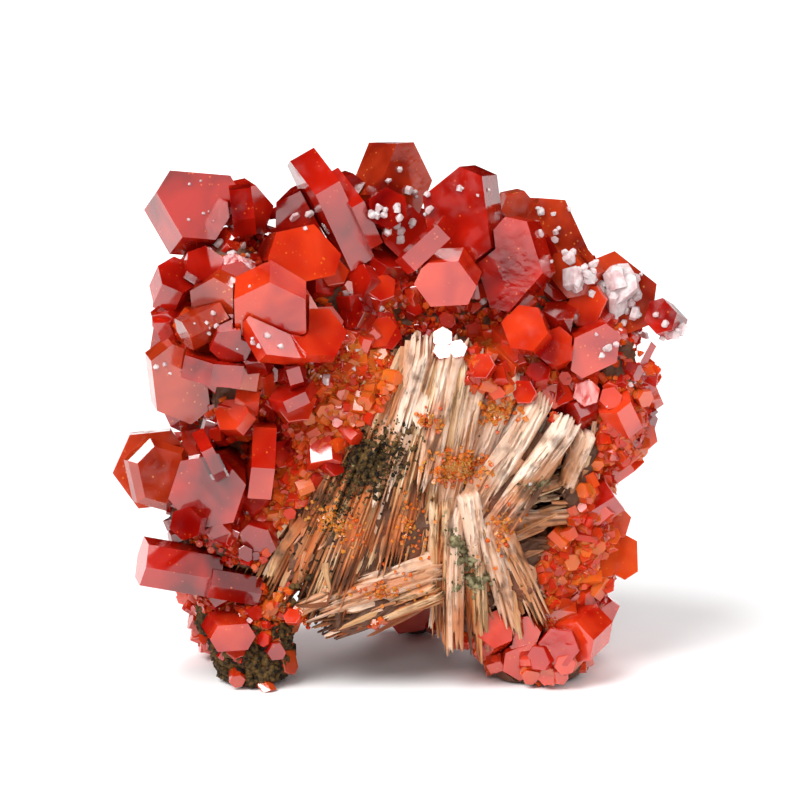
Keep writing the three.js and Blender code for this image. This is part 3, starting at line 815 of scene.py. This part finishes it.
def grow_foot_crust(ground):
    """The dark lump that the left foot stands on."""
    rng = random.Random(43)
    heap = Heap("foot_crust", BLACK, "barite", smooth=True)

    def foot(middles, normals):
        return (dark_foot(middles) & (middles[:, 2] > 0.6)).astype(float) + NOWHERE

    for point, normal in ground.sample(rng, FOOT_LUMPS, foot):
        add_lump(heap, rng, point, rng.uniform(0.15, 0.7), rng.uniform(0.6, 1))
    heap.build()


# Where the pale grains gather on the front: x, z, spread, how many, size.
PALE = [
    (-23, 57.5, 2.5, 7, 0.3), (-14.5, 59, 1.2, 8, 0.45), (-19.5, 53, 1.5, 6, 0.6), (-18, 50, 1.8, 6, 0.5),
    (-11, 55, 1.2, 5, 0.7), (-15.5, 42.5, 2.2, 7, 0.4), (-22, 44.5, 1.8, 7, 0.4), (-2.5, 56, 1.2, 6, 0.6),
    (-0.5, 58, 2, 9, 0.5), (-0.2, 54.5, 1.8, 7, 0.6), (2.8, 56, 1.5, 7, 0.55), (8, 59.5, 2.2, 9, 0.45),
    (13.5, 57.5, 2, 9, 0.5), (17.5, 54.5, 2, 9, 0.6), (18.5, 51.5, 1.8, 6, 0.6), (21.6, 48, 1.5, 10, 0.9),
    (23, 45.5, 1.5, 12, 1), (27.5, 47, 1.6, 8, 0.8), (27, 43.5, 2, 9, 0.9), (30.5, 41.5, 1.8, 10, 0.9),
    (25.6, 46.5, 1.4, 9, 2.1), (20.6, 49.4, 1.2, 7, 1.3), (31.5, 38.5, 1.5, 8, 0.6), (24, 41, 1.6, 6, 0.5),
    (26.5, 36, 2.5, 8, 0.4), (-27, 40, 1.5, 5, 0.4), (14.5, 24.5, 1.5, 4, 0.3),
]
LOOSE_GRAINS = 160  # scattered over the rest of the upper crystals


def add_grain(heap, rng, at, size):
    """A short faceted grain lying any way up."""
    face = leaning(rng, Vector((0, -0.3, 0.6)), 1.2)
    sides, long = uneven(rng, size, 0.35), size * rng.uniform(1.2, 2.4)
    add_crystal(heap, at + face * size, face, sides, long, rng.uniform(0, 60), size * 0.9)


def grow_pale_grains(front, ground):
    rng = random.Random(47)
    heap = Heap("quartz_grains", GRAIN, "barite")  # the record has no slot of their own for the grains
    for x, z, spread, count, size in PALE:
        for _ in range(round(count * 0.8)):
            point, normal = front(x + SHIFT.x + rng.gauss(0, spread * 0.6), z + rng.gauss(0, spread * 0.6))
            if point is not None:
                add_grain(heap, rng, point + normal * size * 0.2, size * rng.uniform(0.25, 0.8))

    def top(middles, normals):
        return outside_window(middles, normals) * np.clip((middles[:, 2] - 34) / 14, 0, 1) + NOWHERE

    for point, normal in ground.sample(rng, LOOSE_GRAINS, top):
        add_grain(heap, rng, point + normal * 0.4, rng.uniform(0.25, 0.6))
    heap.build()


# ---- barite blades ----


def blade_frame(root, tip, front):
    """The length of a blade whose broad side looks to the front, and the ways across, along and out of it."""
    length = (tip - root).length
    y = (tip - root) / length
    z = (Vector(front) - y * Vector(front).dot(y)).normalized()
    return length, y.cross(z), y, z


def add_blade(heap, rng, root, tip, wide, thick, front, tint, across=5, steps=7):
    """A splinter: ridged along its length, tapering to a ragged slanting point."""
    length, x, y, z = blade_frame(root, tip, front)
    seed = rng.uniform(0, 900)
    slant = rng.uniform(0.15, 0.5) * rng.choice((-1, 1))
    places, faces, strands = [], [], []
    for side in (1, -1):
        for j in range(steps + 1):
            t = j / steps
            for i in range(across + 1):
                u = 2 * i / across - 1
                end = 1 - max(0, slant * u) - 0.22 * abs(noise.noise(Vector((u * 4, seed, 0))))
                taper = 1 - 0.35 * t * t
                ridge = noise.noise(Vector((u * 2.6, seed, t * 0.7)))
                ridge += 0.5 * noise.noise(Vector((u * 7, seed, t * 1.5)))
                bend = 0.25 * math.sin(t * 2.2 + seed)
                w = u * wide / 2 * taper
                h = side * thick / 2 * (1 - 0.55 * abs(u)) * (1 - 0.5 * t)
                h += (0.32 * ridge if side > 0 else 0) * thick
                places.append(root + y * length * t * end + x * (w + bend * 0.4) + z * (h + bend))
                strands.append((w + seed, length * t * 0.12, seed))
    row = across + 1
    back = row * (steps + 1)
    for j in range(steps):
        for i in range(across):
            a = j * row + i
            faces.append([a + row, a + row + 1, a + 1, a])
            faces.append([back + a + 1, back + a + row + 1, back + a + row, back + a])
    rim = [(j * row + end, row, end == 0) for j in range(steps) for end in (0, across)]
    rim += [(end * row + i, 1, end > 0) for i in range(across) for end in (0, steps)]
    for a, step, flip in rim:
        face = [a, back + a, back + a + step, a + step]
        faces.append(face[::-1] if flip else face)
    shade = [tint * (1 - 0.9 * zone_share(DARK_ZONES, p)) for p in places]
    heap.add(places, faces, shade, strands, [0.6 * zone_share(RUST_ZONES, p) for p in places])


def closed_sheet(across, steps):
    """The faces of two facing grids of points, joined along their rims."""
    row = across + 1
    back = row * (steps + 1)
    faces = []
    for j in range(steps):
        for i in range(across):
            a = j * row + i
            faces.append([a, a + row, a + row + 1, a + 1])
            faces.append([back + a, back + a + 1, back + a + row + 1, back + a + row])
    rim = [(j * row, (j + 1) * row) for j in range(steps)]
    rim += [(steps * row + i, steps * row + i + 1) for i in range(across)]
    rim += [((j + 1) * row + across, j * row + across) for j in reversed(range(steps))]
    rim += [(i + 1, i) for i in reversed(range(across))]
    faces += [[a, back + a, back + b, b] for a, b in rim]
    return faces


SLAB_ACROSS, SLAB_STEPS = 36, 44  # cells across and along a bundle
LAYER_HEIGHT = 0.42
BUNDLE_LIFT = 1.5  # how far the bundles stand out of the core


def add_slab(heap, rng, root, tip, wide, front, pale, layers, groove):
    """A bundle of blades side by side: grooved along its length, in layers that each end in a ragged edge."""
    across, steps = SLAB_ACROSS, SLAB_STEPS
    root, tip = Vector(root) + SHIFT, Vector(tip) + SHIFT
    length, x, y, z = blade_frame(root, tip, front)
    seed = rng.uniform(0, 900)

    def ragged(u, layer):
        """How far along the bundle a layer reaches, at u across."""
        teeth = abs(noise.noise(Vector((u * wide * 0.8, seed, layer * 3.1))))
        teeth += 0.6 * abs(noise.noise(Vector((u * wide * 2.3, seed, layer * 5.7))))
        slow = noise.noise(Vector((u * 1.2, seed, layer * 9.3)))
        return 1 - 0.42 * teeth - layer * 0.8 / layers * (1 + 0.6 * slow)

    ends = [[ragged(2 * i / across - 1, layer) for layer in range(layers)] for i in range(across + 1)]
    starts = [0.2 * (1 - ragged(2 * i / across - 1, -1)) for i in range(across + 1)]
    places, tints, strands, stains = [], [], [], []
    for side in (1, -1):
        for j in range(steps + 1):
            t = j / steps
            for i in range(across + 1):
                u = 2 * i / across - 1
                end = max(0.3, ends[i][0])
                begin = max(-0.1, min(0.2, starts[i]))
                along = begin + t * (end - begin)
                stack = sum(along < e for e in ends[i][1:])
                ridge = noise.noise(Vector((u * wide * 0.7, seed, along * length * 0.05)))
                ridge += 0.6 * noise.noise(Vector((u * wide * 1.9, seed, along * length * 0.12)))
                bow = 0.5 * math.sin(along * 2.4 + seed)
                w = u * wide / 2 * (1 - 0.15 * t)
                if side > 0:
                    height = (BUNDLE_LIFT + LAYER_HEIGHT * stack) * (1 - 0.6 * u**4)
                    h = (height + groove * ridge) * min(1, 0.2 + t * 8)
                else:
                    h = -0.5 * (1 - abs(u) ** 3) - 0.1
                out = h * (1 - 0.3 * t * t) + bow
                places.append(root + y * length * along + x * (w + 0.3 * bow) + z * out)
                # Painted shade and highlight: darker in the grooves and on the lower layers towards the
                # ragged ends, paler on the ridges and where the layers stack higher.
                shade = pale + 0.10 * (stack - layers / 2) + 0.6 * ridge
                dark = zone_share(DARK_ZONES, places[-1])
                tints.append(max(0, min(1, shade)) * (1 - 0.95 * dark))
                stains.append(0.6 * zone_share(RUST_ZONES, places[-1]))
                strands.append((w + seed, length * along * 0.1, seed))
    heap.add(places, closed_sheet(across, steps), tints, strands, stains)


# Zones of the barite, dark with manganese and orange with rust: x, z, half width, half height and tilt in
# degrees.
DARK_ZONES = [
    (-4, 27.4, 5.6, 3, 45), (-9.4, 22.4, 3.6, 1.6, 58), (-11.8, 11.6, 4, 1, 68), (-6, 14, 2.6, 1, 60),
    (16, 24.6, 4, 1.6, 12), (17, 17, 4, 2.4, 10), (-1.4, 18, 2.6, 0.8, 70), (4, 30, 3.6, 0.5, 68),
]
RUST_ZONES = [
    (-10.4, 18.2, 5, 2, 60), (-5.4, 20.6, 4.4, 1.4, 62), (0.6, 20.6, 4, 1.4, 70), (6.4, 27.2, 3.4, 2.2, 0),
    (-2.4, 13, 4.4, 0.9, 16), (12, 21, 2, 3, 0), (4, 33, 3, 0.8, 70), (-1, 34, 3.4, 0.8, 65),
    (7.4, 8.6, 1.2, 3, 0),
]


def zone_share(zones, place):
    """How deep inside one of the zones a place lies, from 0 outside to 1 in its middle."""
    share = 0.0
    for x, z, half_wide, half_high, tilt in zones:
        turn = math.radians(tilt)
        dx, dz = place.x - SHIFT.x - x, place.z - z
        a = (dx * math.cos(turn) + dz * math.sin(turn)) / half_wide
        b = (-dx * math.sin(turn) + dz * math.cos(turn)) / half_high
        edge = 0.5 * noise.noise(place * 0.9) + 0.35 * noise.noise(place * 2.6)
        share = max(share, min(1, max(0, 1.35 - (a * a + b * b) + edge)))
    return share


# The bundles of blades: root, tip, width, the way the broad side looks, how pale, and which kind of barite.
SLABS = [
    ((-9, -4.4, 22), (-17, -6.9, 7.4), 6, (-0.3, -1, 0.3), 0.6, "tan"),
    ((-6, -5, 18), (-11, -7.5, 6.5), 5, (0.2, -1, 0.2), 0.25, "tan"),
    ((-6, -6, 36), (-18.6, -7, 13.4), 4, (-0.1, -1, 0.4), 0.5, "tan"),
    ((-3.5, -6.4, 37), (-17.5, -7.6, 11), 3.6, (0.2, -1, 0.35), 0.45, "tan"),
    ((-2, -7.4, 38), (-15.6, -8.2, 9.4), 3.4, (-0.2, -1, 0.3), 0.6, "tan"),
    ((0, -7.2, 39), (-12.5, -8.8, 9), 3.6, (0.3, -1, 0.3), 0.45, "tan"),
    ((1.5, -8.2, 40), (-10.5, -9, 8.5), 3.2, (-0.1, -1, 0.3), 0.55, "tan"),
    ((3, -8.0, 41), (-8, -9.8, 8.5), 3.4, (0.3, -1, 0.25), 0.45, "tan"),
    ((4.5, -8.7, 41), (-5, -9.4, 9.5), 3.4, (-0.1, -1, 0.25), 0.5, "tan"),
    ((3, -9.8, 42), (-2.4, -11, 22), 3, (0.2, -1, 0.2), 0.65, "cream"),
    ((5, -9, 41.5), (-1.5, -10, 12), 3.6, (0.1, -1, 0.2), 0.5, "tan"),
    ((6.6, -9.8, 42), (3, -11.2, 23.5), 3, (-0.1, -1, 0.2), 0.75, "cream"),
    ((7, -9, 41), (2.4, -9.8, 13), 3.8, (0.2, -1, 0.2), 0.45, "tan"),
    ((9, -8.6, 40), (4.2, -9.9, 16), 3.4, (0.2, -1, 0.3), 0.55, "cream"),
    ((12.5, -7.4, 38), (6, -9.6, 20), 4, (0.35, -1, 0.4), 0.6, "cream"),
    ((16, -8, 35), (7, -10.3, 18.5), 3.8, (0.4, -1, 0.5), 0.7, "cream"),
    ((19.6, -8.3, 32), (8.8, -10.9, 17.5), 3.2, (0.4, -1, 0.5), 0.8, "cream"),
    ((7.6, -9.2, 24), (9.4, -10.2, 15), 2.6, (0.3, -1, 0.2), 0.75, "cream"),
    ((5, -8.6, 24), (4.6, -9, 5.6), 2.8, (0, -1, 0.15), 0.45, "tan"),
    ((6.8, -8.8, 22.4), (6.6, -9.4, 4.2), 2.6, (-0.2, -1, 0.1), 0.6, "cream"),
    ((8, -8.2, 21.4), (9.6, -8.2, 3), 3, (0.2, -1, 0.1), 0.45, "tan"),
    ((9.6, -8.6, 21.6), (13.6, -8.2, 5.5), 2.6, (-0.1, -1, 0.1), 0.55, "cream"),
    ((10.4, -8.8, 22), (17, -8.4, 8), 2.6, (-0.2, -1, 0.2), 0.5, "cream"),
    ((6, -9, 15.5), (-13, -9, 8.6), 4, (0, -1, 0.5), 0.5, "cream"),
    ((5.5, -8.6, 12.5), (-10, -9, 6.4), 3.2, (0, -1, 0.1), 0.35, "tan"),
    ((9, -6.4, 19), (21.4, -7, 20.4), 1.8, (0, -0.8, 0.9), 0.5, "cream"),
    ((10, -6, 21.6), (20.5, -7.4, 25.4), 1.6, (0, -0.8, 0.8), 0.55, "cream"),
    ((11, -5.4, 24.6), (19.6, -5.4, 27.6), 2, (0, -0.8, 0.7), 0.3, "tan"),
    ((10, -5, 15.6), (19.5, -5.4, 16.6), 2, (0, -0.8, 0.7), 0.3, "tan"),
    ((21.4, -6.8, 30.6), (19.2, -8.2, 24), 2.4, (0.3, -1, 0.1), 0.6, "cream"),
]

# Each fan: two ends of the line of roots, two ends of the line of tips, how many splinters, their share of
# the whole length, width, the way the broad sides look, and the share of cream ones.
FANS = [
    (((-4, -8.5, 36), (5.5, -9.5, 41)), ((-18, -8.6, 13), (-1, -10.8, 12)),
     110, (0.1, 0.3), (0.4, 1.6), (0.1, -1, 0.25), 0.3),
    (((0.5, -10, 42), (8.5, -10, 41)), ((-3, -11, 23), (5.5, -11.2, 21)),
     30, (0.2, 0.5), (0.6, 2), (0.1, -1, 0.2), 0.7),
    (((10, -9, 37), (21, -8.6, 31)), ((5, -10.5, 24), (9.5, -11, 17.5)),
     16, (0.3, 0.7), (0.8, 2.4), (0.4, -1, 0.5), 0.9),
    (((4.5, -9.5, 24), (9.5, -9.2, 21)), ((4.2, -9.4, 6.2), (10.5, -8.4, 3.5)),
     22, (0.2, 0.5), (0.5, 1.6), (0.1, -1, 0.15), 0.5),
    (((9.5, -9.2, 24), (11, -8.8, 20)), ((12, -9, 8), (18, -8.4, 8.5)),
     20, (0.25, 0.6), (0.5, 1.6), (-0.2, -1, 0.2), 0.5),
    (((10, -7.5, 15), (11, -6.4, 25)), ((21, -6.8, 18), (22.5, -6.4, 28)),
     26, (0.3, 0.7), (0.5, 1.5), (0, -0.8, 0.7), 0.5),
    (((4.5, -9.8, 11), (4, -10.2, 15.5)), ((-9.5, -9.8, 6.4), (-13, -9.8, 11)),
     26, (0.2, 0.6), (0.5, 1.4), (0, -1, 0.5), 0.5),
    (((20, -7, 32), (22.5, -6, 30)), ((18, -7, 20), (20.5, -6, 18)),
     5, (0.3, 0.5), (0.6, 1.6), (0.2, -1, 0.2), 0.2),
]
SHORT_SPLINTERS = 500


def grow_blades(ground):
    """The bundles, the fans of splinters over them, and short splinters all over the open barite."""
    rng = random.Random(37)
    tan = Heap("barite_blades_tan", BARITE, "barite")
    cream = Heap("barite_blades_cream", BARITE_CREAM, "barite")
    broad_tan = Heap("barite_bundles_tan", BARITE, "barite", smooth=True)
    broad_cream = Heap("barite_bundles_cream", BARITE_CREAM, "barite", smooth=True)
    for root, tip, wide, front, pale, kind in SLABS:
        if kind == "cream":
            add_slab(broad_cream, rng, root, tip, wide, front, pale, 4, 0.25)
        else:
            add_slab(broad_tan, rng, root, tip, wide, front, pale, 5, 0.6)

    lines = []  # the middle and the direction of each splinter
    for roots, tips, count, share_range, widths, front, cream_share in FANS:
        (root_a, root_b), (tip_a, tip_b) = map(Vector, roots), map(Vector, tips)
        outward = Vector(front).normalized()
        for k in range(count):
            side = (k + rng.random()) / count
            root, tip = root_a.lerp(root_b, side), tip_a.lerp(tip_b, side)
            share = rng.uniform(*share_range)
            start = rng.uniform(-0.05, 1.04 - share)
            a, b = root.lerp(tip, start), root.lerp(tip, start + share)
            lines.append((SHIFT + (a + b) / 2, (b - a).normalized()))
            away = SHIFT + outward * rng.uniform(-2.2, 0.7)
            heap = cream if rng.random() < cream_share else tan
            looks = outward + random_vector(rng, 0.45)
            a, b = a + away + random_vector(rng, 0.3), b + away + random_vector(rng, 0.8)
            wide, thick = rng.uniform(*widths), rng.uniform(0.25, 0.6)
            add_blade(heap, rng, a, b, wide, thick, looks, rng.uniform(0, 1))

    def open_barite(middles, normals):
        return in_window(middles, 0.04) + NOWHERE

    for point, normal in ground.sample(rng, SHORT_SPLINTERS, open_barite):
        _, along = min(lines, key=lambda line: (line[0] - point).length_squared)
        long = rng.uniform(1.5, 5)
        jitter = random_vector(rng, 0.07)
        way = (along + normal * rng.uniform(0.02, 0.3) + jitter).normalized()
        root = point - way * long * 0.4 - normal * 0.1
        heap = cream if rng.random() < 0.3 else tan
        wide, thick = rng.uniform(0.3, 1.1), rng.uniform(0.2, 0.5)
        looks, tint = normal + jitter * 3, rng.uniform(0, 0.8)
        add_blade(heap, rng, root, root + way * long, wide, thick, looks, tint, across=3, steps=5)
    return [heap.build() for heap in (tan, cream, broad_tan, broad_cream)]


# ---- the front ----


def front_of(objects):
    """A function that gives the foremost point at an x and a z, and the normal there."""
    places, faces = [], []
    for o in objects:
        start = len(places)
        places += [o.matrix_world @ v.co / MM for v in o.data.vertices]
        faces += [[start + i for i in polygon.vertices] for polygon in o.data.polygons]
    tree = BVHTree.FromPolygons(places, faces)

    def hit(x, z):
        point, normal, _, _ = tree.ray_cast(Vector((x, -60, z)), Vector((0, 1, 0)))
        return point, normal

    return hit


# ---- the CAD crystals ----

NODE_SHADES = [
    (BROWN, (
        "plate_top_middle", "plates_right_back", "plate_right_large", "plate_left_large",
        "crystal_right_brown", "tablet_left_brown", "prism_left_grey", "plate_lower_left",
        "plate_lower_left_back")),
    (BRIGHT, (
        "crystal_upper_bright", "tablet_roof", "tablets_centre_left", "plate_centre_pink",
        "plate_right_hexagon", "prism_lower_pink", "crystals_foot_right", "crystal_foot_right_large",
        "crystal_foot_right_orange", "crystals_right_red", "crystals_right_pair", "crystal_foot_left",
        "crystal_rear_foot", "crystal_trio_centre")),
    (ORANGE, ("plate_right_rim",)),
]
EDGE_WIDTH = 0.00009  # metres
EDGE_SEGMENTS = 2
EDGE_ANGLE = math.radians(25)


def finish_crystal(name, crystal):
    """The crystal's shade, DEEP unless the table says otherwise, and fine worn edges."""
    shade = next((material for material, names in NODE_SHADES if name in names), DEEP)
    crystal.data.materials.clear()
    crystal.data.materials.append(shade)
    bevel = crystal.modifiers.new("edge", "BEVEL")
    bevel.width = EDGE_WIDTH
    bevel.segments = EDGE_SEGMENTS
    bevel.limit_method = "ANGLE"
    bevel.angle_limit = EDGE_ANGLE


# ---- run ----

add_camera()
add_room()
add_floor()
add_lights()
core = make_core()
ground = Ground(core)
blades = grow_blades(ground)
grow_medium(ground)
grow_druse(ground)
grow_foot_crust(ground)
open_front = front_of([core, *blades])
grow_patches(open_front)
grow_fields(open_front)
place_crystals(open_front)
crystals = [o for n, o in NODES.items() if n != "barite_matrix"]
grow_pale_grains(front_of([core, *blades, *crystals]), ground)

for name, crystal in NODES.items():
    if name != "barite_matrix":
        finish_crystal(name, crystal)
